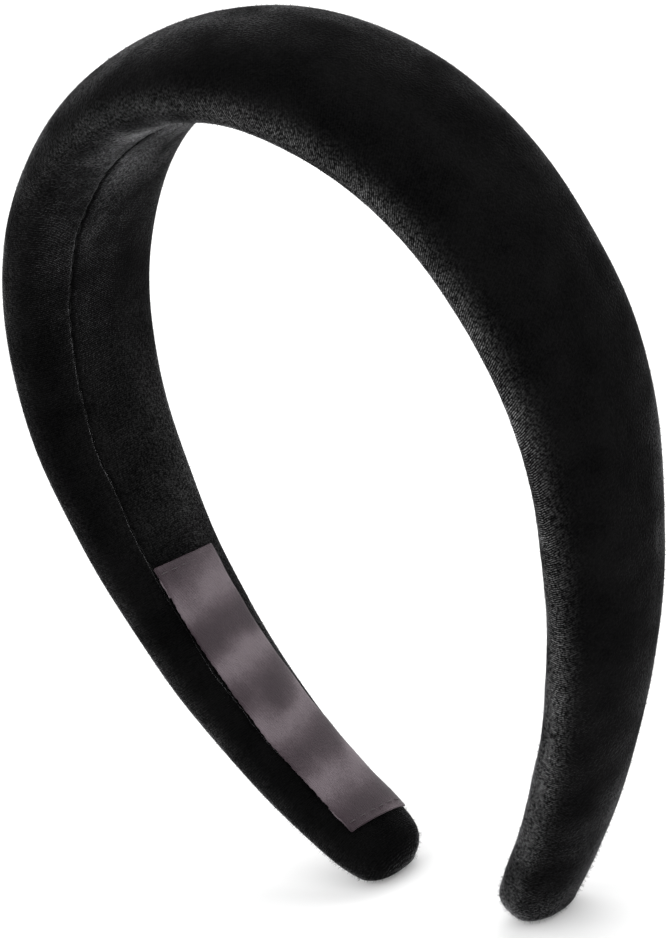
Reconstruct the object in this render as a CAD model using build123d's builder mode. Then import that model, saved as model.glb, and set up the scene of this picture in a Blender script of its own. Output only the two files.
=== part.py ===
from build123d import *
from math import atan2, cos, degrees, radians, sin
import os

os.makedirs("parts", exist_ok=True)

# Frame: X across the head, Y across the band's width (front at -Y), Z up.
# The band stands on its two tips at Z = 0 and is the same on both sides of X = 0.
# s is the distance along the inner face from the crown's middle, v the distance outward from it.

# inner face: four arcs that run on smoothly from the crown's middle to the tip
crown_radius = 51.5
crown_angle = 60.0
shoulder_radius = 59.0
shoulder_length = 38.0
arm_radius = 130.0
arm_length = 43.0
tip_radius = 145.0
half_length = 185.0

# band width at the crown, the shoulder, the arm and the tip; thickness at the crown and the tip
size_places = [0.0, 0.35 * half_length, 0.7 * half_length, half_length]
band_widths = [38.0, 32.4, 24.0, 18.0]
crown_depth = 15.4
tip_depth = 9.0
tip_rounding = 9.0
tip_bulge = 2.5
inner_corner_radius = 3.8
dome_side_radius = 9.5

# layers, from the inner face outward
velvet = 1.2
layer_gap = 0.15
halves_gap = 0.15
core_bottom = 3.3
core_thickness = 1.6
core_width = 25.0
core_tip_width = 11.0
core_end = 178.0
tape_thickness = 0.2
tape_inset = 1.0

# closing seam down the inner face, sunk in a groove
seam_y = -6.4
seam_groove_width = 0.9
seam_groove_depth = 0.7
seam_thread_radius = 0.28
seam_end = 178.0

# woven label on the left arm's inner face
label_start = 115.5
label_end = 174.5
label_front_y = -6.0
label_rear_y = 8.6
label_thickness = 0.35
label_clearance = 0.2
label_stitch_radius = 0.16
label_stitch_length = 1.6
label_stitch_inset = 1.4
label_stitch_gap = 0.04
label_stitch_count = 4

foot_flat = 0.9

crown_length = crown_radius * radians(crown_angle)
arc_radii = [crown_radius, shoulder_radius, arm_radius, tip_radius]
arc_starts = [0.0, crown_length, crown_length + shoulder_length]
arc_starts.append(arc_starts[-1] + arm_length)
arc_ends = arc_starts[1:] + [half_length]
core_top = core_bottom + core_thickness
tape_bottom = core_top + layer_gap
tape_top = tape_bottom + tape_thickness
filling_inset = velvet + layer_gap
overrun = 2.0
far = 60.0
well_inside = -10.0
width_places = [share * half_length for share in (0.0, 0.15, 0.30, 0.45, 0.60, 0.75, 0.95)]


def station(s):
    """X, Z and downward lean of the inner face at distance s, measured from the crown's middle."""
    x = 0.0
    z = 0.0
    lean = 0.0
    for radius, start, end in zip(arc_radii, arc_starts, arc_ends):
        run = min(s, end) - start
        if start == 0 or run > 0:
            turn = run / radius
            x += radius * (sin(lean + turn) - sin(lean))
            z -= radius * (cos(lean) - cos(lean + turn))
            lean += turn
    return x, z, lean


def smooth_value(values, s):
    """A smooth curve through the four values given at size_places, level at the crown."""
    slopes = [(b - a) / (q - p) for a, b, p, q in zip(values, values[1:], size_places, size_places[1:])]
    slopes = [0.0] + [(a + b) / 2 for a, b in zip(slopes, slopes[1:])] + [slopes[-1]]
    s = max(0.0, min(s, half_length))
    i = max(k for k in range(3) if size_places[k] <= s)
    step = size_places[i + 1] - size_places[i]
    t = (s - size_places[i]) / step
    start_part = values[i] * (1 + 2 * t) + slopes[i] * step * t
    end_part = values[i + 1] * (3 - 2 * t) - slopes[i + 1] * step * (1 - t)
    return start_part * (1 - t) ** 2 + end_part * t**2


foot_flat_z = -foot_flat
tip_z, tip_lean = station(half_length - tip_bulge)[1:]
lift = foot_flat_z - tip_z - tip_depth * cos(tip_lean)


def place(s, v):
    """The point at distance s and outward distance v, as X and Z."""
    x, z, lean = station(s)
    return x + v * sin(lean), z + v * cos(lean) + lift


def section_plane(s):
    """The plane across the band at distance s: its own X is the band's width, its own Y points outward."""
    x, z, lean = station(s)
    return Plane(origin=(x, 0, z + lift), x_dir=(0, 1, 0), z_dir=(cos(lean), 0, -sin(lean)))


def draw_section(inset):
    """The crown's D-shaped section, inset all round: a flat inner side, two corners, two flanks and a dome."""
    flank_y = band_widths[0] / 2 - dome_side_radius
    corner_y = band_widths[0] / 2 - inner_corner_radius
    rise = crown_depth - inner_corner_radius
    dome_radius = (flank_y**2 + rise**2 - dome_side_radius**2) / (2 * (rise - dome_side_radius))
    join = degrees(atan2(dome_radius - rise, flank_y))
    corner = inner_corner_radius - inset
    CenterArc((0, crown_depth - dome_radius), dome_radius - inset, join, 180 - 2 * join)
    CenterArc((flank_y, inner_corner_radius), dome_side_radius - inset, 0, join)
    CenterArc((-flank_y, inner_corner_radius), dome_side_radius - inset, 180 - join, join)
    CenterArc((corner_y, inner_corner_radius), corner, -90, 90)
    CenterArc((-corner_y, inner_corner_radius), corner, 180, 90)
    Line((-corner_y, inset), (corner_y, inset))


def draw_run(s_from, s_to, v_from, v_to=None):
    """Arcs along the inner face at outward distance v_from, or from v_from at one end to v_to at the other."""
    v_to = v_from if v_to is None else v_to
    ends = [s_from] + [e for e in arc_starts[1:] if s_from < e < s_to] + [s_to]
    for start, end in zip(ends, ends[1:]):
        middle = (start + end) / 2
        v = [v_from + (v_to - v_from) * (s - s_from) / (s_to - s_from) for s in (start, middle, end)]
        ThreePointArc(place(start, v[0]), place(middle, v[1]), place(end, v[2]))


def draw_strip(s_from, s_to, v_from, v_to):
    """A strip seen from the front: between two outward distances, from one distance along to another."""
    draw_run(s_from, s_to, v_from)
    draw_run(s_from, s_to, v_to)
    Line(place(s_from, v_from), place(s_from, v_to))
    Line(place(s_to, v_from), place(s_to, v_to))


def draw_taper(top_half, tip_half, tip_s):
    """The core's outline seen from the side: parallel over the crown, tapering down the arm, round at the tip."""
    top = lift + far
    shoulder_z = place(arc_ends[0], core_bottom)[1]
    end_z = place(tip_s, core_top)[1]
    Polyline((-tip_half, end_z + tip_half), (-top_half, shoulder_z), (-top_half, top), (top_half, top),
             (top_half, shoulder_z), (tip_half, end_z + tip_half))
    ThreePointArc((tip_half, end_z + tip_half), (0, end_z), (-tip_half, end_z + tip_half))


def draw_band_front(inset):
    """The band seen from the front, inset all round: as deep as the crown in the middle and thinner at the tip."""
    end = half_length - tip_bulge
    draw_run(-overrun, end, inset)
    draw_run(-overrun, end, crown_depth - inset, tip_depth - inset)
    Line(place(-overrun, inset), place(-overrun, crown_depth - inset))
    ThreePointArc(place(end, inset), place(half_length - inset, tip_depth / 2), place(end, tip_depth - inset))


def draw_band_side(inset):
    """The band seen from the side, inset all round: widths in straight runs down the arm, then a round tip."""
    places = [(smooth_value(band_widths, s) / 2 - inset, place(s, core_bottom)[1]) for s in width_places]
    top_half = band_widths[0] / 2 - inset
    tip_half = places[-1][0]
    tip_z = foot_flat_z + tip_rounding
    places = [(top_half, lift + far)] + places[:-1] + [(tip_half, tip_z)]
    Polyline(*places)
    Polyline(*[(-y, z) for y, z in places])
    Line((-top_half, lift + far), (top_half, lift + far))
    ThreePointArc((tip_half, tip_z), (0, foot_flat_z + inset), (-tip_half, tip_z))


def make_band(inset):
    """The whole right half of the band, inset all round."""
    with BuildPart() as band:
        for start, end, radius in zip([-overrun] + arc_starts[1:], arc_ends, arc_radii):
            with BuildSketch(section_plane(start)):
                with BuildLine():
                    draw_section(inset)
                make_face()
            x, z = place(start, -radius)
            revolve(axis=Axis((x, 0, z), (0, 1, 0)), revolution_arc=degrees((end - start) / radius))
        with BuildSketch(Plane.XZ.offset(-far)):
            with BuildLine():
                draw_band_front(inset)
            make_face()
        extrude(amount=2 * far, mode=Mode.INTERSECT)
        with BuildSketch(Plane.YZ):
            with BuildLine():
                draw_band_side(inset)
            make_face()
        extrude(amount=2 * far, both=True, mode=Mode.INTERSECT)
    return band.part


band_shape = make_band(0)
cover_space = make_band(velvet)
filling = make_band(filling_inset)

# velvet cover: a sleeve round everything, flat along its inner face
with BuildPart() as cover_right:
    add(band_shape)
    add(cover_space, mode=Mode.SUBTRACT)
    with BuildSketch(Plane.XZ.offset(-seam_y - seam_groove_width / 2)) as seam_groove:
        with BuildLine():
            draw_strip(-overrun, seam_end + seam_groove_width, -seam_groove_width, seam_groove_depth)
        make_face()
    extrude(amount=seam_groove_width, mode=Mode.SUBTRACT)
    with Locations((0, 0, -far / 2)):
        Box(8 * far, 2 * far, far, mode=Mode.SUBTRACT)
    split(bisect_by=Plane.YZ.offset(halves_gap), keep=Keep.TOP)
cover_right.part.label = "velvet cover, right half"
export_step(cover_right.part, "parts/cover_right.step")

with BuildPart() as cover_left:
    mirror(cover_right.part, about=Plane.YZ)
cover_left.part.label = "velvet cover, left half"
export_step(cover_left.part, "parts/cover_left.step")

# band core: a springy strip, wide over the crown and narrow at the tips
with BuildPart() as core_right:
    with BuildSketch(Plane.XZ.offset(-far)) as core_front:
        with BuildLine():
            draw_strip(-overrun, half_length, core_bottom, core_top)
        make_face()
    extrude(amount=2 * far)
    with BuildSketch(Plane.YZ) as core_side:
        with BuildLine():
            draw_taper(core_width / 2, core_tip_width / 2, core_end)
        make_face()
    extrude(amount=2 * far, both=True, mode=Mode.INTERSECT)
    split(bisect_by=Plane.YZ.offset(halves_gap), keep=Keep.TOP)
core_right.part.label = "band core, right half"
export_step(core_right.part, "parts/core_right.step")

with BuildPart() as core_left:
    mirror(core_right.part, about=Plane.YZ)
core_left.part.label = "band core, left half"
export_step(core_left.part, "parts/core_left.step")

# double-sided tape on the core's outer face
with BuildPart() as tape_right:
    with BuildSketch(Plane.XZ.offset(-far)) as tape_front:
        with BuildLine():
            draw_strip(-overrun, half_length, tape_bottom, tape_top)
        make_face()
    extrude(amount=2 * far)
    with BuildSketch(Plane.YZ) as tape_side:
        with BuildLine():
            draw_taper(core_width / 2 - tape_inset, core_tip_width / 2 - tape_inset, core_end - tape_inset)
        make_face()
    extrude(amount=2 * far, both=True, mode=Mode.INTERSECT)
    split(bisect_by=Plane.YZ.offset(halves_gap), keep=Keep.TOP)
tape_right.part.label = "foam tape, right half"
export_step(tape_right.part, "parts/tape_right.step")

with BuildPart() as tape_left:
    mirror(tape_right.part, about=Plane.YZ)
tape_left.part.label = "foam tape, left half"
export_step(tape_left.part, "parts/tape_left.step")

# room for the core and its tape, cut from the foam
with BuildPart() as core_room:
    with BuildSketch(Plane.XZ.offset(-far)) as room_front:
        with BuildLine():
            draw_strip(-2 * overrun, half_length, well_inside, tape_top + layer_gap)
        make_face()
    extrude(amount=2 * far)
    with BuildSketch(Plane.YZ) as room_side:
        with BuildLine():
            draw_taper(core_width / 2 + layer_gap, core_tip_width / 2 + layer_gap, core_end + 2 * layer_gap)
        make_face()
    extrude(amount=2 * far, both=True, mode=Mode.INTERSECT)

# foam pad: domed over the core and wrapped round its edges
with BuildPart() as foam_pad_right:
    add(filling)
    with BuildSketch(Plane.XZ.offset(-far)) as foam_underside:
        with BuildLine():
            draw_strip(-2 * overrun, half_length + overrun, well_inside, core_bottom)
        make_face()
    extrude(amount=2 * far, mode=Mode.SUBTRACT)
    add(core_room.part, mode=Mode.SUBTRACT)
    split(bisect_by=Plane.YZ.offset(halves_gap), keep=Keep.TOP)
foam_pad_right.part.label = "foam pad, right half"
export_step(foam_pad_right.part, "parts/foam_pad_right.step")

with BuildPart() as foam_pad_left:
    mirror(foam_pad_right.part, about=Plane.YZ)
foam_pad_left.part.label = "foam pad, left half"
export_step(foam_pad_left.part, "parts/foam_pad_left.step")

# wadding between the core and the cover's inner face
with BuildPart() as wadding_right:
    add(filling)
    with BuildSketch(Plane.XZ.offset(-far)) as wadding_front:
        with BuildLine():
            draw_strip(-overrun, core_end, 0, core_bottom - layer_gap)
        make_face()
    extrude(amount=2 * far, mode=Mode.INTERSECT)
    split(bisect_by=Plane.YZ.offset(halves_gap), keep=Keep.TOP)
wadding_right.part.label = "inner wadding, right half"
export_step(wadding_right.part, "parts/wadding_right.step")

with BuildPart() as wadding_left:
    mirror(wadding_right.part, about=Plane.YZ)
wadding_left.part.label = "inner wadding, left half"
export_step(wadding_left.part, "parts/wadding_left.step")

# closing seam's thread, lying in its groove
with BuildPart() as seam_thread_right:
    with BuildLine(Plane.XZ.offset(-seam_y)) as seam_path:
        draw_run(halves_gap + layer_gap, seam_end, seam_groove_depth / 2)
    with BuildSketch(Plane(origin=seam_path.line @ 0, z_dir=seam_path.line % 0)) as thread_round:
        Circle(seam_thread_radius)
    sweep()
seam_thread_right.part.label = "closing seam thread, right half"
export_step(seam_thread_right.part, "parts/seam_thread_right.step")

with BuildPart() as seam_thread_left:
    mirror(seam_thread_right.part, about=Plane.YZ)
seam_thread_left.part.label = "closing seam thread, left half"
export_step(seam_thread_left.part, "parts/seam_thread_left.step")

# woven label, flat on the left arm's inner face
label_far = -label_clearance - label_thickness
with BuildPart() as label:
    with BuildSketch(Plane.XZ.offset(-label_rear_y)) as label_front:
        with BuildLine():
            draw_strip(label_start, label_end, label_far, -label_clearance)
        make_face()
        mirror(about=Plane.YZ, mode=Mode.REPLACE)
    extrude(amount=label_rear_y - label_front_y)
label.part.label = "woven label"
export_step(label.part, "parts/label.step")

# running stitches across the label's two ends
stitch_v = label_far - label_stitch_radius - label_stitch_gap
stitch_pitch = (label_rear_y - label_front_y) / label_stitch_count
stitch_rows = [place(label_start + label_stitch_inset, stitch_v), place(label_end - label_stitch_inset, stitch_v)]
with BuildPart() as label_thread:
    for x, z in stitch_rows:
        for k in range(label_stitch_count):
            with Locations((-x, label_front_y + stitch_pitch * (k + 0.5), z)):
                Cylinder(label_stitch_radius, label_stitch_length, rotation=(90, 0, 0))
label_thread.part.label = "label stitches"
export_step(label_thread.part, "parts/label_thread.step")
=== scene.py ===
from math import cos, pi, radians, sin

import bmesh
import bpy
import numpy as np
from mathutils import Matrix, Vector


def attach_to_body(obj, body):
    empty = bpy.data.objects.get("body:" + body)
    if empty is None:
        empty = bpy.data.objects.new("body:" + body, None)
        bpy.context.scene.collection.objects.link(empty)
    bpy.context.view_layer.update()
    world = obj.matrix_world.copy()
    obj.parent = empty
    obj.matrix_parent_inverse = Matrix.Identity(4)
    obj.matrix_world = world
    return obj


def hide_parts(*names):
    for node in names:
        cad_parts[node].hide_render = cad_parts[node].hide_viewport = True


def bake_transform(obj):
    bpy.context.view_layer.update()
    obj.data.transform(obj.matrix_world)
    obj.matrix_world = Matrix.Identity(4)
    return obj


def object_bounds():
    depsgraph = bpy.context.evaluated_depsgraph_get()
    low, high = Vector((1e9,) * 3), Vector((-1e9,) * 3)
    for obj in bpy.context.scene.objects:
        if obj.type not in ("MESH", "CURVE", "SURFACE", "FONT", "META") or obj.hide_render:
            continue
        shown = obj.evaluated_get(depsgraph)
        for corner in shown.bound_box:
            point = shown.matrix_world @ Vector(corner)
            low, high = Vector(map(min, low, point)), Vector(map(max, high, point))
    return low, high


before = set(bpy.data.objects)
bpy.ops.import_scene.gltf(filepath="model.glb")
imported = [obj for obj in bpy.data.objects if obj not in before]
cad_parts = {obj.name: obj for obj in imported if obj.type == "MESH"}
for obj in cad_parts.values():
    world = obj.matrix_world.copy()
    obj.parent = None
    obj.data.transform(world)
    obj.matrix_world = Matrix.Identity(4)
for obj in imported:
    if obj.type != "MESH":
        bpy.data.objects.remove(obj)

cad_low, cad_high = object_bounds()
rng = np.random.default_rng(7)

# ---------------------------------------------------------------- shape, in millimetres
# s runs along the inner face from the crown's middle, minus to the left arm and plus to the right.
# u runs across the band (front is minus) and v outward from the inner face.
HALF_LENGTH = 185.0
ARCS = [(51.5, 53.93), (59.0, 38.0), (130.0, 43.0), (145.0, 50.07)]   # radius, length
SIZE_PLACES = np.array([0.0, 0.35, 0.7, 1.0]) * HALF_LENGTH
WIDTHS = [37.0, 33.2, 23.9, 17.15]
DEPTHS = [15.6, 12.2, 11.9, 10.75]
TIP_ROUND_ACROSS, TIP_ROUND_DEEP = 11.6, 4.8
TIP_POWER_ACROSS = 2.8
# each a pair, at the crown and at the tip
OUTER_POWER, INNER_POWER, WIDEST_AT = (2.14, 2.07), (2.71, 2.69), (0.35, 0.49)

# fitted differences between the left arm (-1) and the right arm (1)
ARM_LEAN = {-1: 0.0003, 1: -0.0013}     # extra curl of the arm, 1/mm
TIP_LEAN = {-1: 0.0015, 1: -0.0020}     # extra curl of the tip, 1/mm
STRETCH = {-1: 0.9983, 1: 1.0017}       # length as a share of the nominal one
TILT_CROWN, TILT_TIP = -2.49, {-1: 2.79, 1: 1.84}    # the section's roll about its length, degrees
SKEW = 0.87                             # sideways set half way down, opposite on the two sides
TIP_SHIFT = {-1: 3.75, 1: 0.29}         # how far each tip sits to the back

VELVET, GAP = 1.1, 0.15
SEAM_U, GROOVE_DEPTH, GROOVE_WIDTH = -6.3, 0.7, 0.36
SEAM_TIP_SHARE = 0.55                   # the seam stays within this share of the half width
CORE_LOW, CORE_THICK, CORE_END = 3.3, 1.6, 178.0
CORE_PLACES, CORE_HALF_WIDTHS = [0, 60, 170, CORE_END], [12.5, 11.2, 6.2, 5.5]
TAPE_THICK, TAPE_TRIM = 0.2, 1.0
STITCH_PITCH, STITCH_LENGTH, STITCH_RADIUS = 3.4, 3.0, 0.16
LABEL_S, LABEL_U, LABEL_FOLD, LABEL_THICK = (116.0, 175.8), (-6.4, 7.7), 6.0, 0.24
LABEL_SKEW = 0.09   # the label lies a little askew: its rear edge is nearer the tip
CUT_S = 76.0        # the crown piece ends here
CROWN_DEPTH = 15.4  # the CAD crown's, from inner face to top
SETTLE = 0.7        # fitted: the crown stands this much lower than the CAD one's
LIFT = cad_high.z * 1000 - CROWN_DEPTH - SETTLE
MM = 0.001


def smooth_curve(places, values, s):
    """Monotone smooth curve through the values, level at the first place."""
    places, values = np.asarray(places, float), np.asarray(values, float)
    step = np.diff(places)
    slope = np.diff(values) / step
    ends = np.concatenate([[0.0], (slope[1:] + slope[:-1]) / 2, [slope[-1]]])
    i = np.clip(np.searchsorted(places, s, side="right") - 1, 0, len(step) - 1)
    t = (s - places[i]) / step[i]
    return (values[i] * (1 + 2 * t) * (1 - t) ** 2 + ends[i] * step[i] * t * (1 - t) ** 2
            + values[i + 1] * (3 - 2 * t) * t ** 2 - ends[i + 1] * step[i] * (1 - t) * t ** 2)


def make_profile(side):
    """Fine table of the inner face's line: s, x, z, lean."""
    fine = np.linspace(0, HALF_LENGTH, 3701)
    edges = np.cumsum([0] + [length for _, length in ARCS])
    extra = (0, 0, ARM_LEAN[side], TIP_LEAN[side])
    bend = np.array([1 / radius + more for (radius, _), more in zip(ARCS, extra)])
    k = bend[np.clip(np.searchsorted(edges, fine, side="right") - 1, 0, len(ARCS) - 1)]
    reach = 60      # steps of 0.05 mm over which one arc eases into the next
    box = np.ones(2 * reach + 1) / (2 * reach + 1)
    k = np.convolve(np.pad(k, reach, mode="edge"), box, mode="valid")
    lean = np.concatenate([[0], np.cumsum((k[1:] + k[:-1]) / 2 * np.diff(fine))])
    dx, dz = np.cos(lean), -np.sin(lean)
    x = np.concatenate([[0], np.cumsum((dx[1:] + dx[:-1]) / 2 * np.diff(fine))])
    z = np.concatenate([[0], np.cumsum((dz[1:] + dz[:-1]) / 2 * np.diff(fine))])
    return fine, x, z, lean


PROFILE = {side: make_profile(side) for side in (-1, 1)}


def raw_place(s, u, v):
    """Points in the row frame, mm, before the tips are set down on the floor."""
    s, u, v = np.broadcast_arrays(np.asarray(s, float), np.asarray(u, float), np.asarray(v, float))
    out = np.empty(s.shape + (3,))
    for side in (-1, 1):
        m = (s < 0) if side < 0 else (s >= 0)
        fine, x, z, lean = PROFILE[side]
        a = np.abs(s[m]) * STRETCH[side]
        f = np.abs(s[m]) / HALF_LENGTH
        tilt = np.radians(TILT_CROWN * (1 - f ** 2) + TILT_TIP[side] * f ** 2)
        um, vm = u[m] * np.cos(tilt) - v[m] * np.sin(tilt), v[m] * np.cos(tilt) + u[m] * np.sin(tilt)
        th = np.interp(a, fine, lean)
        over = np.maximum(a - HALF_LENGTH, 0)
        out[m, 0] = side * (np.interp(a, fine, x) + over * np.cos(th) + vm * np.sin(th))
        out[m, 1] = um + TIP_SHIFT[side] * f ** 2 + SKEW * side * np.sin(pi * f)
        out[m, 2] = np.interp(a, fine, z) - over * np.sin(th) + vm * np.cos(th) + LIFT
    return out


def tip_round(s, r, power=2.0):
    t = np.clip((np.abs(s) - (HALF_LENGTH - r)) / r, 0, 1)
    return np.maximum(1 - t ** power, 0) ** (1 / power)


def size_at(s):
    """Half width, depth, and the three section shape numbers at s."""
    a = np.abs(s)
    f = a / HALF_LENGTH
    half = smooth_curve(SIZE_PLACES, WIDTHS, a) / 2 * tip_round(s, TIP_ROUND_ACROSS, TIP_POWER_ACROSS)
    depth = smooth_curve(SIZE_PLACES, DEPTHS, a)
    mix = [p[0] + (p[1] - p[0]) * f for p in (OUTER_POWER, INNER_POWER, WIDEST_AT)]
    return half, depth, tip_round(s, TIP_ROUND_DEEP), mix


def section(s, inset, n=720):
    """Closed section at one s, inset all round: (u, v) points from under the middle towards +u."""
    half, depth, squeeze, (no, ni, c) = size_at(s)
    th = -pi / 2 + np.arange(n + 1) / n * 2 * pi
    co, si = np.cos(th), np.sin(th)
    up = si >= 0
    power = np.where(up, 2 / no, 2 / ni)
    u = np.sign(co) * np.abs(co) ** power * max(half - inset, 0.02)
    mid, top = c * depth, depth - c * depth
    v = np.where(up, mid + max(top - inset, 0.02) * np.abs(si) ** (2 / no),
                 mid - max(mid - inset, 0.02) * np.abs(si) ** (2 / ni))
    v = depth / 2 + (v - depth / 2) * max(squeeze, 0.01)
    return u, v


def inner_v(s, u):
    """Outward distance of the cover's inner face at (s, u)."""
    half, depth, squeeze, (no, ni, c) = size_at(s)
    q = np.clip(np.abs(u) / np.maximum(half, 0.1), 0, 0.999)
    v = c * depth * (1 - (1 - q ** ni) ** (1 / ni))
    return depth / 2 + (v - depth / 2) * squeeze


def seam_u(s):
    return np.maximum(SEAM_U, -SEAM_TIP_SHARE * size_at(s)[0])


def ring_places(step, end=HALF_LENGTH):
    """s of each ring, minus to plus, closer together at the tips, with rings at 0 and at the cuts."""
    tip = 9.0       # the zone at each tip where the rings draw together
    inner = np.concatenate([np.linspace(0, CUT_S, int(CUT_S / step) + 1),
                            np.linspace(CUT_S, end - tip, int((end - tip - CUT_S) / step) + 1)[1:]])
    m = max(6, int(tip / step * 1.8))
    t = np.linspace(0, pi / 2, m + 1)[1:]
    inner = np.concatenate([inner, end - tip + tip * np.sin(t)])
    return np.concatenate([-inner[:0:-1], inner])


S_RINGS = ring_places(1.0)
NEAR = np.array([0, 0.1, 0.22, 0.36, 0.52, 0.72, 1.0, 1.4, 2.0, 2.8])   # points beside the seam, mm
AROUND = 60             # points in the rest of the way round
FULL_GIRTH = 36.0       # below this girth the points beside the seam close up


def grid(s_rings, inset):
    """Rings of points round the band, each starting at the seam line.

    Gives the points, their distance from the seam, each ring's girth, and each point's share of a turn."""
    m = 2 * len(NEAR) - 1 + AROUND - 1
    points = np.empty((len(s_rings), m, 3))
    away = np.empty((len(s_rings), m))
    girth = np.empty(len(s_rings))
    turn = np.empty((len(s_rings), m))
    for i, s in enumerate(s_rings):
        u, v = section(s, inset)
        run = np.concatenate([[0], np.cumsum(np.hypot(np.diff(u), np.diff(v)))])
        total = run[-1]
        quarter = 3 * (len(u) - 1) // 4
        start = np.interp(seam_u(s), u[quarter:], run[quarter:])
        near = NEAR * min(1.0, total / FULL_GIRTH)
        rest = np.linspace(near[-1], total - near[-1], AROUND + 1)[1:-1]
        d = np.concatenate([near, rest, total - near[:0:-1]])
        at = (start + d) % total
        points[i] = place(s, np.interp(at, run, u), np.interp(at, run, v))
        turn[i] = np.interp(at, run, np.arange(len(u)) / (len(u) - 1))
        away[i] = np.where(d > total / 2, d - total, d)
        girth[i] = total
    return points, away, girth, turn


def grid_normals(points):
    """Outward unit normals of a ring grid."""
    along = np.gradient(points, axis=0)
    across = np.roll(points, -1, axis=1) - np.roll(points, 1, axis=1)
    n = np.cross(across, along)
    size = np.linalg.norm(n, axis=2, keepdims=True)
    n = n / np.maximum(size, 1e-9)
    middle = points.mean(axis=1, keepdims=True)
    sign = np.sign(((points - middle) * n).sum(axis=2).mean(axis=1))[:, None, None]
    return n * np.where(sign == 0, 1, sign)


def waves(x, y, count, low, high, seed):
    """Smooth noise from a few seeded sine waves, with pitches from low to high millimetres."""
    r = np.random.default_rng(seed)
    total = np.zeros(np.broadcast(x, y).shape)
    for _ in range(count):
        pitch, turn, start = r.uniform(low, high), r.uniform(0, pi), r.uniform(0, 2 * pi)
        total += np.sin(2 * pi / pitch * (x * cos(turn) + y * sin(turn)) + start)
    return total / np.sqrt(count)


FOOT_SINK, FOOT_SOFT, FOOT_DROP = 0.7, 1.4, 0.2     # how far each tip is pressed down and flat
SHEAR_START, SHEAR_POWER = 60.0, 1.5


def foot_shift(side):
    """How far one arm comes down so that its tip stands on the floor."""
    near_tip = np.linspace(HALF_LENGTH - 9, HALF_LENGTH - 0.5, 9)
    lowest = [raw_place(side * s, *section(side * s, 0, 120))[:, 2].min() for s in near_tip]
    return min(lowest) + FOOT_SINK


FOOT_SHIFT = {side: foot_shift(side) for side in (-1, 1)}


def place(s, u, v):
    """Points in the row frame, mm: each arm is sheared a little so that its tip meets the floor."""
    out = raw_place(s, u, v)
    s = np.broadcast_to(np.asarray(s, float), out.shape[:-1])
    f = np.clip((np.abs(s) - SHEAR_START) / (HALF_LENGTH - SHEAR_START), 0, 1) ** SHEAR_POWER
    out[..., 2] -= np.where(s < 0, FOOT_SHIFT[-1], FOOT_SHIFT[1]) * f
    return out


def flatten_foot(points):
    """Presses the last millimetre of each tip flat, so that nothing goes below the floor."""
    z = points[..., 2]
    pressed = FOOT_SOFT * np.exp((z - FOOT_SOFT) / FOOT_SOFT) - FOOT_DROP
    points[..., 2] = np.where(z < FOOT_SOFT, pressed, z)
    return points


# ---------------------------------------------------------------- meshes
def make_mesh(name, points, faces, uv=None, normals=None, material=None):
    """A mesh object from points in millimetres, a list of face index arrays and UVs given by point.

    A third UV column becomes a point attribute, the mask of the velvet's painted highlight."""
    mesh = bpy.data.meshes.new(name)
    loops = np.concatenate([f.ravel() for f in faces])
    sizes = np.concatenate([np.full(len(f), f.shape[1]) for f in faces])
    mesh.vertices.add(len(points))
    mesh.vertices.foreach_set("co", (points * MM).astype(np.float32).ravel())
    mesh.loops.add(len(loops))
    mesh.loops.foreach_set("vertex_index", loops.astype(np.int32))
    mesh.polygons.add(len(sizes))
    mesh.polygons.foreach_set("loop_start", np.concatenate([[0], np.cumsum(sizes)[:-1]]).astype(np.int32))
    mesh.polygons.foreach_set("loop_total", sizes.astype(np.int32))
    mesh.update(calc_edges=True)
    mesh.validate()
    if uv is not None:
        layer = mesh.uv_layers.new(name="weave")
        layer.data.foreach_set("uv", uv[loops, :2].astype(np.float32).ravel())
        if uv.shape[1] > 2:
            layer = mesh.attributes.new("lit_edge_mask", "FLOAT", "POINT")
            layer.data.foreach_set("value", uv[:, 2].astype(np.float32))
    mesh.polygons.foreach_set("use_smooth", np.full(len(mesh.polygons), True))
    if normals is not None:
        mesh.normals_split_custom_set_from_vertices(normals.tolist())
    obj = bpy.data.objects.new(name, mesh)
    bpy.context.scene.collection.objects.link(obj)
    if material:
        mesh.materials.append(material)
    return obj


def ring_faces(n, m, first=0, flip=False, closed=True):
    """Quads between n rings of m points."""
    i, j = np.meshgrid(np.arange(n - 1), np.arange(m if closed else m - 1), indexing="ij")
    k = (j + 1) % m
    f = np.stack([i * m + j, i * m + k, (i + 1) * m + k, (i + 1) * m + j], -1).reshape(-1, 4) + first
    return f[:, ::-1] if flip else f


def parts_of(s_rings):
    """The ring ranges of the left arm, the crown and the right arm."""
    a = int(np.argmin(np.abs(s_rings + CUT_S)))
    b = int(np.argmin(np.abs(s_rings - CUT_S)))
    return {"left_arm": (0, a), "crown": (a, b), "right_arm": (b, len(s_rings) - 1)}


def attach(obj, part, cad):
    """Rides with its half, or for the crown stays in the row frame, and stands for its CAD nodes."""
    if part == "crown":
        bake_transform(obj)
        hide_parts(cad + "_left", cad + "_right")
    else:
        side = part.split("_")[0]
        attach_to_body(obj, side + "_half")
        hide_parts(cad + "_" + side)


def face_outward(obj):
    """Turns the faces of a closed mesh outward."""
    bm = bmesh.new()
    bm.from_mesh(obj.data)
    bmesh.ops.recalc_face_normals(bm, faces=bm.faces)
    bm.to_mesh(obj.data)
    bm.free()


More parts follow.
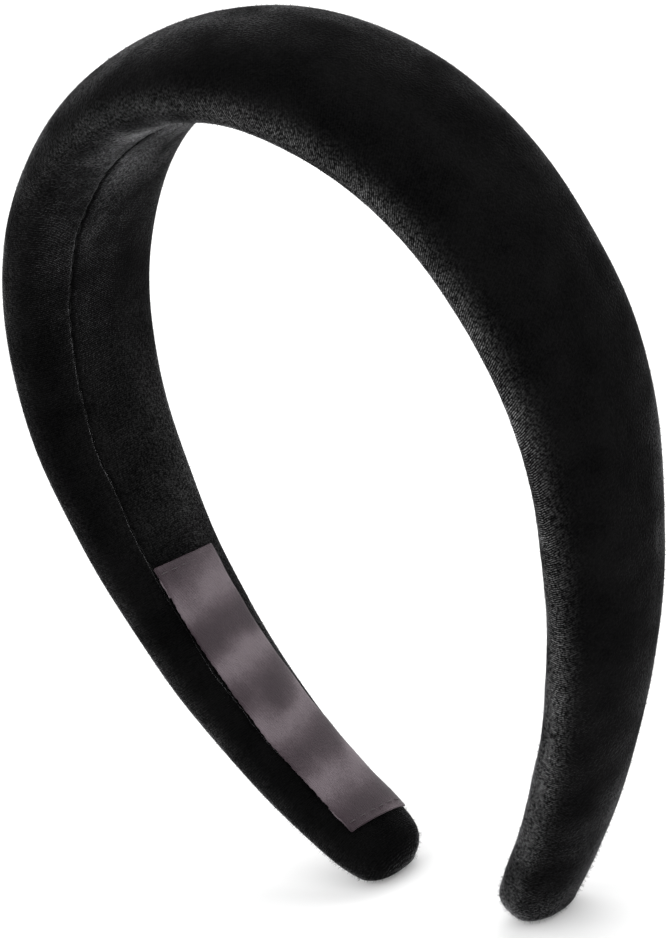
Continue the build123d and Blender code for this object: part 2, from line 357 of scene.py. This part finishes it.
def solid_pieces(name, points, s_rings, uv, material, cad):
    """A closed run of rings as three pieces, each with its ends filled: left arm, crown and right arm."""
    n, m = points.shape[:2]
    normals = grid_normals(points)
    for part, (a, b) in parts_of(s_rings).items():
        p = points[a:b + 1].reshape(-1, 3)
        rows = b + 1 - a
        keep = np.zeros((rows, m, 3))
        if a > 0:
            keep[0] = normals[a]
        if b < n - 1:
            keep[-1] = normals[b]
        ends = [np.arange(m)[None, ::-1], (np.arange(m) + (rows - 1) * m)[None]]
        faces = [ring_faces(rows, m)] + ends
        obj = make_mesh(name + "_" + part, p, faces, uv[a:b + 1].reshape(-1, 2), None, material)
        face_outward(obj)
        obj.data.normals_split_custom_set_from_vertices(keep.reshape(-1, 3).tolist())
        attach(obj, part, cad)


# ---------------------------------------------------------------- materials
def new_material(name, **sockets):
    """A Principled material with constant sockets set; gives it, its node tree and its shader."""
    mat = bpy.data.materials.new(name)
    mat.use_nodes = True
    tree = mat.node_tree
    shader = tree.nodes["Principled BSDF"]
    for key, value in sockets.items():
        shader.inputs[key.replace("_", " ")].default_value = value
    return mat, tree, shader


def math(tree, op, *values):
    """A math node of values or sockets; gives its output socket."""
    n = tree.nodes.new("ShaderNodeMath")
    n.operation = op
    for i, value in enumerate(values):
        if isinstance(value, (int, float)):
            n.inputs[i].default_value = value
        else:
            tree.links.new(value, n.inputs[i])
    return n.outputs[0]


def mul_add(tree, a, b, c):
    return math(tree, "MULTIPLY_ADD", a, b, c)


def product(tree, value, *others):
    for other in others:
        value = math(tree, "MULTIPLY", value, other)
    return value


def stripes(tree, value, pitch):
    """A wave from 0 to 1 along a value in millimetres."""
    return mul_add(tree, math(tree, "SINE", product(tree, value, 2 * pi / pitch)), 0.5, 0.5)


def ramp(tree, value, stops):
    """A colour ramp over (place, grey or colour) stops."""
    n = tree.nodes.new("ShaderNodeValToRGB")
    tree.links.new(value, n.inputs[0])
    while len(n.color_ramp.elements) < len(stops):
        n.color_ramp.elements.new(0.5)
    for e, (at, c) in zip(n.color_ramp.elements, stops):
        e.position = at
        e.color = (c, c, c, 1) if isinstance(c, (int, float)) else (*c, 1)
    return n.outputs[0]


def paint(tree, shader, value, stops, socket="Base Color"):
    tree.links.new(ramp(tree, value, stops), shader.inputs[socket])


def object_coords(tree):
    return tree.nodes.new("ShaderNodeTexCoord").outputs["Object"]


def noise(tree, scale, detail):
    n = tree.nodes.new("ShaderNodeTexNoise")
    n.inputs["Scale"].default_value = scale
    n.inputs["Detail"].default_value = detail
    tree.links.new(object_coords(tree), n.inputs["Vector"])
    return n.outputs[0]


def weave_uv(tree):
    """The weave UVs in millimetres: along, across."""
    uv = tree.nodes.new("ShaderNodeUVMap")
    uv.uv_map = "weave"
    parts = tree.nodes.new("ShaderNodeSeparateXYZ")
    tree.links.new(uv.outputs[0], parts.inputs[0])
    return parts.outputs[0], parts.outputs[1]


def bump(tree, shader, height, distance):
    n = tree.nodes.new("ShaderNodeBump")
    n.inputs["Strength"].default_value = 1.0
    n.inputs["Distance"].default_value = distance
    tree.links.new(height, n.inputs["Height"])
    tree.links.new(n.outputs[0], shader.inputs["Normal"])


RIB_PITCH = 0.4       # mm
SHEEN = 1.75
EDGE_SHEEN = 0.5      # more sheen at grazing angles along the edges that are painted lighter
PAINTED_EDGE_HIGHLIGHT = 0.095     # painted highlight: lighter base colour along the edges where the light falls

velvet, tree, shader = new_material("black_velvet", Roughness=0.95, Specular_IOR_Level=0.03,
                                    Sheen_Roughness=0.3)
along, across = weave_uv(tree)
# the mask of the painted highlight along the inner face's edges
lit_mask = tree.nodes.new("ShaderNodeAttribute")
lit_mask.attribute_name = "lit_edge_mask"
lit_mask = lit_mask.outputs["Fac"]
rib = stripes(tree, mul_add(tree, noise(tree, 500, 2), 0.5, along), RIB_PITCH)
patch = ramp(tree, noise(tree, 110, 5), [(0.36, 0.2), (0.66, 1.0)])
broad = ramp(tree, noise(tree, 28, 2), [(0.35, 0.7), (0.65, 1.0)])
grain = ramp(tree, noise(tree, 2400, 2), [(0.35, 0.08), (0.68, 1.15)])
# 1 about the seam, falling to 0 on the way round to the outer side
inner_side = math(tree, "SUBTRACT", 1.7, product(tree, across, 1 / 11.0))
inner_side.node.use_clamp = True
inner_or_lit = math(tree, "MAXIMUM", inner_side, lit_mask)
near_crown = mul_add(tree, math(tree, "ABSOLUTE", along), -1 / 70, 1.6)
near_crown = math(tree, "MAXIMUM", near_crown, mul_add(tree, lit_mask, 0.7, 0.25))
near_crown = math(tree, "MINIMUM", near_crown, 1.0)
rib_depth = product(tree, mul_add(tree, inner_or_lit, 0.95, 0.2), near_crown)
ribbed = mul_add(tree, math(tree, "SUBTRACT", math(tree, "POWER", rib, 1.5), 0.45), rib_depth, 0.62)
texture = product(tree, ribbed, grain)

# the base colour is the same from every side
tone = mul_add(tree, patch, 0.5, mul_add(tree, grain, 0.35, product(tree, rib, 0.15)))
dark, light = (0.0007, 0.0007, 0.0008), (0.0044, 0.0043, 0.0044)
# painted highlight: the masked edges get a lighter base colour that stands in for the light falling there
glint = product(tree, math(tree, "POWER", texture, 1.5), mul_add(tree, patch, 1.0, 0.7))
base_with_highlight = tree.nodes.new("ShaderNodeVectorMath")
base_with_highlight.operation = "ADD"
tree.links.new(ramp(tree, tone, [(0.2, dark), (0.9, light)]), base_with_highlight.inputs[0])
tree.links.new(product(tree, lit_mask, glint, PAINTED_EDGE_HIGHLIGHT), base_with_highlight.inputs[1])
tree.links.new(base_with_highlight.outputs[0], shader.inputs["Base Color"])

# the sheen is stronger at grazing angles
edge = tree.nodes.new("ShaderNodeLayerWeight")
edge.inputs["Blend"].default_value = 0.5
facing = edge.outputs["Facing"]
grazing = mul_add(tree, math(tree, "POWER", facing, 3.0), mul_add(tree, inner_side, 0.7, 0.62),
                  mul_add(tree, inner_side, 0.1, 0.01))
lit_edge_sheen = product(tree, lit_mask, math(tree, "POWER", facing, 1.2))
grazing = mul_add(tree, lit_edge_sheen, EDGE_SHEEN, grazing)
sheen = product(tree, product(tree, patch, broad), texture)
tree.links.new(product(tree, sheen, grazing, SHEEN), shader.inputs["Sheen Weight"])
shader.inputs["Sheen Tint"].default_value = (0.97, 0.97, 1.0, 1)
bump(tree, shader, mul_add(tree, product(tree, rib, inner_or_lit), 0.9, product(tree, grain, 0.8)), 0.00012)

foam, tree, shader = new_material("white_foam", Roughness=0.95, Specular_IOR_Level=0.2)
voronoi = tree.nodes.new("ShaderNodeTexVoronoi")
voronoi.inputs["Scale"].default_value = 1400
tree.links.new(object_coords(tree), voronoi.inputs["Vector"])
cells = voronoi.outputs["Distance"]
paint(tree, shader, cells, [(0.0, (0.5, 0.47, 0.4)), (0.6, (0.86, 0.84, 0.78))])
bump(tree, shader, cells, 0.0003)

wadding, tree, shader = new_material("grey_wadding", Roughness=1.0, Specular_IOR_Level=0.1,
                                     Sheen_Weight=0.3)
fibres = noise(tree, 1800, 5)
paint(tree, shader, fibres, [(0.3, (0.3, 0.3, 0.31)), (0.7, (0.62, 0.62, 0.63))])
bump(tree, shader, fibres, 0.0004)

plastic, tree, shader = new_material("core_plastic", Roughness=0.4, Specular_IOR_Level=0.5)
flow = noise(tree, 160, 3)
paint(tree, shader, flow, [(0.3, (0.015, 0.015, 0.017)), (0.7, (0.03, 0.03, 0.033))])
paint(tree, shader, flow, [(0.2, 0.3), (0.8, 0.5)], "Roughness")

tape_film, tree, shader = new_material("tape_film", Roughness=0.5, Specular_IOR_Level=0.4)
blot = noise(tree, 300, 4)
paint(tree, shader, blot, [(0.3, (0.62, 0.57, 0.44)), (0.7, (0.78, 0.74, 0.62))])
bump(tree, shader, blot, 0.0001)

black_thread, tree, shader = new_material("black_thread", Roughness=0.7, Specular_IOR_Level=0.12,
                                          Sheen_Weight=0.02)
twist = stripes(tree, math(tree, "ADD", *weave_uv(tree)), 0.35)
paint(tree, shader, twist, [(0.2, 0.0008), (0.9, 0.004)])
bump(tree, shader, twist, 0.00006)

satin, tree, shader = new_material("label_satin", Roughness=0.38, Specular_IOR_Level=0.2, Anisotropic=0.5)
along, across = weave_uv(tree)
weft = stripes(tree, along, 0.24)
fine = noise(tree, 2600, 2)
drift = mul_add(tree, noise(tree, 60, 2), 9.0, mul_add(tree, across, 0.25, along))
tone = mul_add(tree, fine, 0.15, product(tree, weft, 0.1))
# painted satin highlights: the lighter patches and the broad bands across the label
tone = mul_add(tree, noise(tree, 120, 4), 0.45, tone)
tone = mul_add(tree, stripes(tree, drift, 14.0), 0.3, tone)
paint(tree, shader, tone,
      [(0.35, (0.036, 0.024, 0.03)), (0.5, (0.072, 0.053, 0.062)), (0.66, (0.16, 0.13, 0.145))])
bump(tree, shader, mul_add(tree, weft, 0.6, fine), 0.0001)

label_thread, tree, shader = new_material("label_thread", Roughness=0.5, Specular_IOR_Level=0.35)
twist = stripes(tree, math(tree, "ADD", *weave_uv(tree)), 0.3)
paint(tree, shader, twist, [(0.2, (0.03, 0.024, 0.027)), (0.9, (0.09, 0.075, 0.08))])


# ---------------------------------------------------------------- velvet cover
GROOVE_END, GROOVE_FADE = 7.0, 9.0      # how far from the tip the groove ends, and over what length
SECOND_PUCKER = 5.3                     # pitch of the pucker that doesn't follow the stitches
HAIRS, HAIR_WIDTH, HAIR_LENGTH = 70000, 0.05, (0.25, 0.6)
HAIR_LEAN = 0.42
LONG_HAIRS = (160.0, 172.0)             # the hairs lengthen over this stretch of each arm
CALM_LEAD, CALM_RISE = 13.0, 8.0        # the cover lies flatter from this far above the label
# centre and half width of the bands painted lighter, a painted highlight, in shares of a turn:
# 0 is under the middle, 0.25 at the back edge and 0.75 at the front edge
FRONT_EDGE, BACK_EDGE, ABOVE_LABEL = (0.758, 0.034), (0.16, 0.08), (0.1, 0.12)


def ridge(x, centre, width):
    """A smooth rise to 1 at the centre."""
    return np.exp(-((x - centre) / width) ** 2)


def cover_surface():
    """The cover's outer and inner rings, and each point's distance from the seam, s and share of a turn."""
    base, away, girth, turn = grid(S_RINGS, 0)
    inside = grid(S_RINGS, VELVET)[0]
    s = np.broadcast_to(S_RINGS[:, None], away.shape)
    fade = np.clip((HALF_LENGTH - GROOVE_END - np.abs(s)) / GROOVE_FADE, 0, 1) ** 0.7
    by_stitch = np.sin(2 * pi * s / STITCH_PITCH + 0.8 * np.sin(s / 17))
    pucker = 0.5 + 0.25 * (by_stitch + np.sin(2 * pi * s / SECOND_PUCKER + 2))
    depth = GROOVE_DEPTH * (0.75 + 0.25 * pucker) * fade
    out = -depth * ridge(away, 0, GROOVE_WIDTH * (0.85 + 0.35 * pucker))
    under_label = np.clip((CALM_LEAD - s - LABEL_S[0]) / CALM_RISE, 0, 1) * (away > -4) * (away < 18)
    swell = fade * (1 - 0.75 * under_label)
    out += swell * (0.05 + 0.08 * (pucker - 0.5)) * ridge(np.abs(away), 1.9, 1.1)
    out += swell * 0.05 * ridge(away, 0, 9.0) * waves(s, away, 5, 3.0, 6.0, 11)
    out += swell * 0.09 * waves(s, away, 8, 14, 45, 12)
    wobble = 0.25 * waves(s, away * 0, 4, 9, 30, 13) * ridge(away, 0, 2.0) * fade
    shift = np.zeros_like(base)
    shift[..., 1] = wobble * np.minimum(1, girth / FULL_GIRTH)[:, None]
    surface = flatten_foot(base + grid_normals(base) * out[..., None] + shift)
    inside = flatten_foot(inside)
    inside[..., 2] = np.maximum(inside[..., 2], VELVET * 0.8)       # the cover stays thick where it stands
    return surface, inside, away, s, turn


def lit_edges(s, turn):
    """How strong the painted highlight is: along both edges of the inner face, and over that face above the
    label.
    """
    down_arm = np.clip((s - 10) / 70, 0, 1)
    toward_tip = np.clip((168 - np.abs(s)) / 14, 0, 1)
    front = (0.75 + 0.35 * down_arm) * ridge(turn, FRONT_EDGE[0], FRONT_EDGE[1] + 0.018 * down_arm)
    lit_mask = (front + 0.35 * ridge(turn, *BACK_EDGE)) * (0.35 + 0.65 * toward_tip)
    lit_mask *= 0.15 + 0.85 * np.clip((s + 45) / 60, 0, 1)      # fainter on the left arm
    apart = np.abs(turn - ABOVE_LABEL[0])
    arm_window = np.clip(np.minimum(np.abs(s) - 60, 150 - np.abs(s)) / 45, 0, 1)
    return lit_mask + 0.33 * arm_window * ridge(np.minimum(apart, 1 - apart), 0, ABOVE_LABEL[1])


surface, inside, away, s_grid, turn = cover_surface()
slant = 0.55 * np.maximum(np.abs(away) - 10, 0)     # far from the seam the ribs run aslant
# the third column is the mask of the velvet's painted highlight
cover_uv = np.stack([s_grid + slant, np.abs(away), lit_edges(s_grid, turn)], -1)
surface_normals = grid_normals(surface)
RINGS, RING_POINTS = surface.shape[:2]


def pile(a, b, count):
    """Short thin hairs on rings a to b: points, triangles, UVs and normals."""
    quads = surface[a:b + 1]
    d1 = quads[1:] - quads[:-1]
    d2 = np.roll(quads, -1, axis=1) - quads
    area = np.linalg.norm(np.cross(d1, d2[:-1]), axis=2).ravel()
    pick = rng.choice(len(area), count, p=area / area.sum())
    i, j = np.divmod(pick, RING_POINTS)
    k = (j + 1) % RING_POINTS
    f, g = rng.random((count, 1)), rng.random((count, 1))

    def mix(q):
        near, far = q[i, j] * (1 - f) + q[i + 1, j] * f, q[i, k] * (1 - f) + q[i + 1, k] * f
        return near * (1 - g) + far * g

    def unit(q):
        return q / np.linalg.norm(q, axis=1, keepdims=True)

    root, n = mix(quads), unit(mix(surface_normals[a:b + 1]))
    uv = cover_uv[a:b + 1][i, j]
    way = unit(n + rng.normal(size=(count, 3)) * HAIR_LEAN)
    side = unit(np.cross(n, rng.normal(size=(count, 3)))) * HAIR_WIDTH / 2
    loose = unit(n + rng.normal(size=(count, 3)) * (0.08 + 0.5 * np.minimum(uv[:, 2:], 1)))
    length = rng.uniform(*HAIR_LENGTH, (count, 1))
    length *= np.interp(np.abs(S_RINGS[a:b + 1][i, None]), LONG_HAIRS, (1, 1.8))
    tip = root + way * length
    tip[:, 2] = np.maximum(tip[:, 2], 0.0)
    points = np.stack([root - side, root + side, tip], 1).reshape(-1, 3)
    triangles = np.arange(count * 3).reshape(-1, 3)
    return points, triangles, np.repeat(uv, 3, axis=0), np.repeat(loose, 3, axis=0)


for part, (a, b) in parts_of(S_RINGS).items():
    rows, m = b + 1 - a, RING_POINTS
    layer, last = rows * m, (rows - 1) * m
    normals = np.zeros((2, rows, m, 3))
    faces = [ring_faces(rows, m), ring_faces(rows, m, layer, flip=True)]
    for at, cut in ((0, a > 0), (last, b < RINGS - 1)):
        j = np.arange(m)
        k = (j + 1) % m
        if cut:
            rim = np.stack([at + j, at + k, layer + at + k, layer + at + j], -1)
            faces.append(rim if at else rim[:, ::-1])
            normals[0, -1 if at else 0] = surface_normals[b if at else a]
        else:
            faces.append((at + j)[None] if at else (at + j)[None, ::-1])
            faces.append((layer + at + j)[None, ::-1] if at else (layer + at + j)[None])
    hair, hair_faces, hair_uv, hair_normals = pile(a, b, int(HAIRS * (b - a) / (RINGS - 1)))
    faces.append(hair_faces + 2 * layer)
    points = np.concatenate([surface[a:b + 1].reshape(-1, 3), inside[a:b + 1].reshape(-1, 3), hair])
    uvs = np.concatenate([cover_uv[a:b + 1].reshape(-1, 3)] * 2 + [hair_uv])
    normals = np.concatenate([normals.reshape(-1, 3), hair_normals])
    obj = make_mesh("velvet_cover_" + part, points, faces, uvs, normals, velvet)
    attach(obj, part, "cover")


# ---------------------------------------------------------------- pieces inside the cover
INSIDE = VELVET + GAP
INNER_STEP = 2.5                    # between the rings of these pieces
COARSE = 240                        # points round a section
RIGHT = slice(0, COARSE // 2 + 1)   # its plus side, from the bottom to the top


def loop_grid(s_rings, outline):
    """Rings from outline(s), which gives (u, v) points; the rings' UVs are s and the way round."""
    points, uv = [], []
    for s in s_rings:
        u, v = outline(s)
        points.append(place(s, u, v))
        round_way = np.concatenate([[0], np.cumsum(np.hypot(np.diff(u), np.diff(v)))])
        uv.append(np.stack([np.full(len(u), s), round_way], -1))
    return np.array(points), np.array(uv)


def strip_outline(low, high, half_at, corner=0.3):
    """A flat strip's rounded rectangle."""
    def outline(s):
        half = half_at(s)
        c = min(corner, (high - low) / 2 * 0.95, half / 2)
        corners = [(half - c, low + c, -90), (half - c, high - c, 0),
                   (-half + c, high - c, 90), (-half + c, low + c, 180)]
        u, v = [], []
        for cu, cv, start in corners:
            for step in range(4):
                t = radians(start + 30 * step)
                u.append(cu + c * cos(t))
                v.append(cv + c * sin(t))
        return np.array(u), np.array(v)
    return outline


def core_half(s, trim=0.0):
    """Half width of the core: wide over the crown, narrow at the tips, rounded at its ends."""
    half = np.interp(abs(s), CORE_PLACES, CORE_HALF_WIDTHS) - trim
    t = np.clip((abs(s) - (CORE_END - trim - half)) / half, 0, 0.995)
    return max(half * np.sqrt(1 - t ** 2), 0.3)


def inside_half(s, v):
    """Half width of the space inside the cover at height v."""
    across, up = [q[RIGHT] for q in section(s, INSIDE, COARSE)]
    return max(float(np.interp(v, up, across)), 0.3) if up[0] < v < up[-1] else 0.3


def foam_outline(s):
    """A dome over the core and its tape, with a flat underside and a recess for the core."""
    u, v = section(s, INSIDE, COARSE)
    top = float(v.max())
    low = min(CORE_LOW, top - 0.6)
    edge = inside_half(s, low)
    dome = np.array([(edge, low)] + [(a, b) for a, b in zip(u[RIGHT], v[RIGHT]) if b > low + 0.05])
    d = np.concatenate([[0], np.cumsum(np.hypot(*np.diff(dome, axis=0).T))])
    at = np.linspace(0, d[-1], 22)
    dome_u, dome_v = np.interp(at, d, dome[:, 0]), np.interp(at, d, dome[:, 1])
    dome_u[-1] = 0
    recess, deep = 0.2, low
    if abs(s) < CORE_END + GAP:
        recess = min(core_half(s) + GAP, edge - 0.15)
        deep = min(CORE_LOW + CORE_THICK + 3 * GAP + TAPE_THICK, top - 0.3)
    deep = max(deep, low + 0.02)
    under_u = [-recess - 0.1, -recess, -recess, -recess / 2, 0, recess / 2, recess, recess, recess + 0.1]
    under_v = [low, low, deep, deep, deep, deep, deep, low, low]
    u = np.concatenate([dome_u, -dome_u[-2::-1], under_u])
    v = np.concatenate([dome_v, dome_v[-2::-1], under_v])
    return u, v


def wadding_outline(s):
    """A thin layer between the cover's inner face and the core."""
    u, v = section(s, INSIDE, COARSE)
    top = CORE_LOW - GAP
    low_u = np.linspace(-1, 1, 25) * inside_half(s, top)
    under = v[RIGHT] <= top + 0.01
    low_v = np.minimum(np.interp(np.abs(low_u), u[RIGHT][under], v[RIGHT][under]), top - 0.1)
    high_v = np.full(len(low_u), max(top, float(v.min()) + 0.2))
    return np.concatenate([low_u, low_u[::-1]]), np.concatenate([low_v, high_v])


def inner_piece(name, end, outline, material, cad, lowest=-np.inf):
    """A piece inside the cover, with rings out to s = end on both arms and no point under the lowest."""
    rings = ring_places(INNER_STEP, end)
    points, uv = loop_grid(rings, outline)
    points[..., 2] = np.maximum(points[..., 2], lowest)
    solid_pieces(name, points, rings, uv, material, cad)


tape_low = CORE_LOW + CORE_THICK + GAP
tape_outline = strip_outline(tape_low, tape_low + TAPE_THICK, lambda s: core_half(s, TAPE_TRIM), 0.09)
inner_piece("core_strip", CORE_END, strip_outline(CORE_LOW, CORE_LOW + CORE_THICK, core_half), plastic,
            "core")
inner_piece("foam_tape", CORE_END - TAPE_TRIM, tape_outline, tape_film, "tape")
inner_piece("foam_pad", HALF_LENGTH - VELVET - 2 * GAP, foam_outline, foam, "foam_pad",
            INSIDE + 0.1)
inner_piece("inner_wadding", CORE_END, wadding_outline, wadding, "wadding")


# ---------------------------------------------------------------- closing seam
def capsules(middles, ring_at, radius, sides, steps):
    """Closed stitches: ring_at(middle, q, aside, up) gives a ring's points and its place on the stitch."""
    points, uv, faces = [], [], []
    t = np.arange(sides) / sides * 2 * pi
    for middle in middles:
        first = len(points) * sides
        for q in np.linspace(-1, 1, steps):
            r = radius * max(1 - abs(q) ** 6, 0.02) ** 0.5
            ring, run = ring_at(middle, q, r * np.cos(t), r * np.sin(t))
            points.append(ring)
            uv.append(np.stack([np.full(sides, run), r * t], -1))
        faces += [ring_faces(steps, sides, first), first + np.arange(sides)[None, ::-1],
                  first + (steps - 1) * sides + np.arange(sides)[None]]
    return np.concatenate(points), faces, np.concatenate(uv)


def seam_ring(middle, q, aside, up):
    """One ring of a seam stitch, which follows the band and dips at both ends."""
    s = middle + q * STITCH_LENGTH / 2
    u = float(seam_u(np.array(s)))
    v = float(inner_v(s, u)) + 0.38 + 0.25 * q * q
    return place(s, u + aside, v + up), s


counts = int(CUT_S / STITCH_PITCH)
crown_places = np.arange(-counts, counts + 1) * STITCH_PITCH
arm_places = np.arange(counts + 1, int((CORE_END - 2) / STITCH_PITCH) + 1) * STITCH_PITCH
for part, places in (("left_arm", -arm_places), ("crown", crown_places), ("right_arm", arm_places)):
    points, faces, uvs = capsules(places, seam_ring, STITCH_RADIUS, 8, 9)
    obj = make_mesh("seam_stitches_" + part, points, faces, uvs, None, black_thread)
    attach(obj, part, "seam_thread")


# ---------------------------------------------------------------- woven label on the left arm
# heights off the velvet: the folded end, the layer over it, and the label between its folds
UNDER_HEIGHT, OVER_HEIGHT, MIDDLE_HEIGHT = 0.22, 0.62, 0.45
WAVE_HEIGHT, WAVE_SWING = 0.1, 0.13     # the top layer's waviness adds this much, up and down
FOLD_RADIUS, FOLD_START = 0.25, 0.3
FOLD_POINTS = 14        # points of the path at each folded end
LABEL_STITCH_LENGTH, LABEL_STITCH_RADIUS = 1.6, 0.11
LABEL_STITCH_IN = (1.4, 1.2)    # from the label's ends, from its sides


def label_path():
    """(s, height under the inner face) along the label's length, with both ends folded under."""
    s0, s1 = LABEL_S
    middle, half = (UNDER_HEIGHT + OVER_HEIGHT) / 2, (OVER_HEIGHT - UNDER_HEIGHT) / 2
    turns = np.linspace(0, pi, 7)[1:-1]
    path = [(s, UNDER_HEIGHT) for s in np.linspace(s0 + LABEL_FOLD, s0 + FOLD_START, 8)]
    path += [(s0 + FOLD_RADIUS - FOLD_RADIUS * sin(t), middle - half * cos(t)) for t in turns]
    for s in np.linspace(s0 + FOLD_START, s1 - FOLD_START, 90):
        path.append((s, OVER_HEIGHT if s < s0 + LABEL_FOLD or s > s1 - LABEL_FOLD else MIDDLE_HEIGHT))
    path += [(s1 - FOLD_RADIUS + FOLD_RADIUS * sin(t), middle + half * cos(t)) for t in turns]
    path += [(s, UNDER_HEIGHT) for s in np.linspace(s1 - FOLD_START, s1 - LABEL_FOLD, 8)]
    path = np.array(path)
    eased = np.convolve(np.pad(path[:, 1], 3, mode="edge"), np.ones(7) / 7, mode="valid")
    between = slice(FOLD_POINTS + 1, -FOLD_POINTS)
    path[between, 1] = eased[between]
    return path


path = label_path()
across_u = np.linspace(*LABEL_U, 29)[None, :]
wavy = waves(path[:, :1], 0.4 * across_u, 6, 7, 20, 31)
top_side = np.clip((path[:, 1:] - 0.35) / 0.1, 0, 1)
height = path[:, 1:] + (WAVE_SWING * wavy + WAVE_HEIGHT) * top_side
u_label = np.broadcast_to(across_u, height.shape)
s_label = path[:, :1] + LABEL_SKEW * (u_label - LABEL_U[0])
cut_edge = np.abs(u_label - LABEL_U[0]) < 0.1
saw = 0.07 * np.sign(np.sin(2 * pi * s_label / 1.1)) * cut_edge
centre = place(-s_label, u_label + saw, inner_v(s_label, u_label) - height)
n = np.cross(np.gradient(centre, axis=1), np.gradient(centre, axis=0))
n *= LABEL_THICK / 2 / np.linalg.norm(n, axis=2, keepdims=True)
rows, cols = centre.shape[:2]
run = np.concatenate([[0], np.cumsum(np.linalg.norm(np.diff(centre[:, cols // 2], axis=0), axis=1))])
uv = np.stack([np.broadcast_to(run[:, None], u_label.shape), u_label], -1).reshape(-1, 2)
front = ring_faces(rows, cols, 0, closed=False)
back = ring_faces(rows, cols, rows * cols, flip=True, closed=False)
border = np.concatenate([
    np.arange(cols), np.arange(1, rows) * cols + cols - 1,
    (rows - 1) * cols + np.arange(cols - 2, -1, -1), np.arange(rows - 2, 0, -1) * cols])
following = np.roll(border, -1)
rim = np.stack([border, border + rows * cols, following + rows * cols, following], -1)
sides = np.concatenate([(centre + n).reshape(-1, 3), (centre - n).reshape(-1, 3)])
label = make_mesh("woven_label", sides, [front, back, rim], np.concatenate([uv, uv]), None, satin)
face_outward(label)
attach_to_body(label, "left_half")
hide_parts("label")


def label_ring(middle, q, aside, up):
    """One ring of a stitch across the label's end."""
    s_row, u_mid = middle
    u = u_mid + q * LABEL_STITCH_LENGTH / 2
    s = s_row + LABEL_SKEW * (u - LABEL_U[0])
    v = inner_v(s, u) - (OVER_HEIGHT + WAVE_HEIGHT) - LABEL_THICK / 2 - 0.06 + 0.14 * q * q
    return place(-s + aside, u, v + up), u


middles = [(s, u) for s in (LABEL_S[0] + LABEL_STITCH_IN[0], LABEL_S[1] - LABEL_STITCH_IN[0])
           for u in np.linspace(LABEL_U[0] + LABEL_STITCH_IN[1], LABEL_U[1] - LABEL_STITCH_IN[1], 6)]
points, faces, uvs = capsules(middles, label_ring, LABEL_STITCH_RADIUS, 6, 7)
label_stitches = make_mesh("label_stitches", points, faces, uvs, None, label_thread)
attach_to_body(label_stitches, "left_half")
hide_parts("label_thread")


# ---------------------------------------------------------------- floor, light and camera
WORLD_LIGHT, FLOOR_LIGHT = 1.32, 0.14
PICTURE_POINTS = 938        # along the longer side of the picture
AZIMUTH, ELEVATION, ROLL = radians(46.514), radians(18.629), radians(-13.987)
DISTANCE, SCALE = 0.6518, 5.8505          # metres; picture points per millimetre at the aim point
SHIFT_RIGHT, SHIFT_UP, AIM_DROP = -0.00197, 0.00434, 0.070

pale_floor, tree, shader = new_material("pale_floor", Roughness=0.9, Specular_IOR_Level=0.1,
                                        Emission_Strength=FLOOR_LIGHT, Emission_Color=(1, 1, 1, 1))
paint(tree, shader, noise(tree, 3.0, 2), [(0.3, 0.89), (0.7, 0.91)])
bpy.ops.mesh.primitive_plane_add(size=6.0, location=(0, 0, -0.0002))
floor = bpy.context.object
floor.name = "floor"
floor.data.materials.append(pale_floor)

world = bpy.data.worlds.new("studio")
bpy.context.scene.world = world
world.use_nodes = True
background = world.node_tree.nodes["Background"]
background.inputs["Color"].default_value = (1, 1, 1, 1)
background.inputs["Strength"].default_value = WORLD_LIGHT


def area_light(name, where, size, power):
    """A soft square light aimed at the band's middle."""
    data = bpy.data.lights.new(name, "AREA")
    data.shape = "SQUARE"
    data.size = size
    data.energy = power
    obj = bpy.data.objects.new(name, data)
    bpy.context.scene.collection.objects.link(obj)
    obj.location = where
    aim = Vector((0, 0, 0.08)) - Vector(where)
    obj.rotation_mode = "QUATERNION"
    obj.rotation_quaternion = aim.to_track_quat("-Z", "Y")


area_light("light_left", (-0.85, -0.45, 0.12), 0.35, 1.0)
area_light("light_top", (-0.1, 0.5, 1.0), 0.6, 1.5)

back = Vector((sin(AZIMUTH) * cos(ELEVATION), -cos(AZIMUTH) * cos(ELEVATION), sin(ELEVATION)))
level = Vector((cos(AZIMUTH), sin(AZIMUTH), 0))
upward = back.cross(level)
right = level * cos(ROLL) + upward * sin(ROLL)
up = upward * cos(ROLL) - level * sin(ROLL)
eye = Vector((0, 0, LIFT * MM - AIM_DROP)) + back * DISTANCE + right * SHIFT_RIGHT + up * SHIFT_UP
camera = bpy.data.objects.new("camera", bpy.data.cameras.new("camera"))
bpy.context.scene.collection.objects.link(camera)
bpy.context.scene.camera = camera
camera.matrix_world = Matrix([*zip(right, up, back, eye), (0, 0, 0, 1)])
camera.data.lens = SCALE * DISTANCE * 1000 * camera.data.sensor_width / PICTURE_POINTS
camera.data.clip_start, camera.data.clip_end = 0.05, 20

bpy.context.scene.view_settings.view_transform = "Standard"
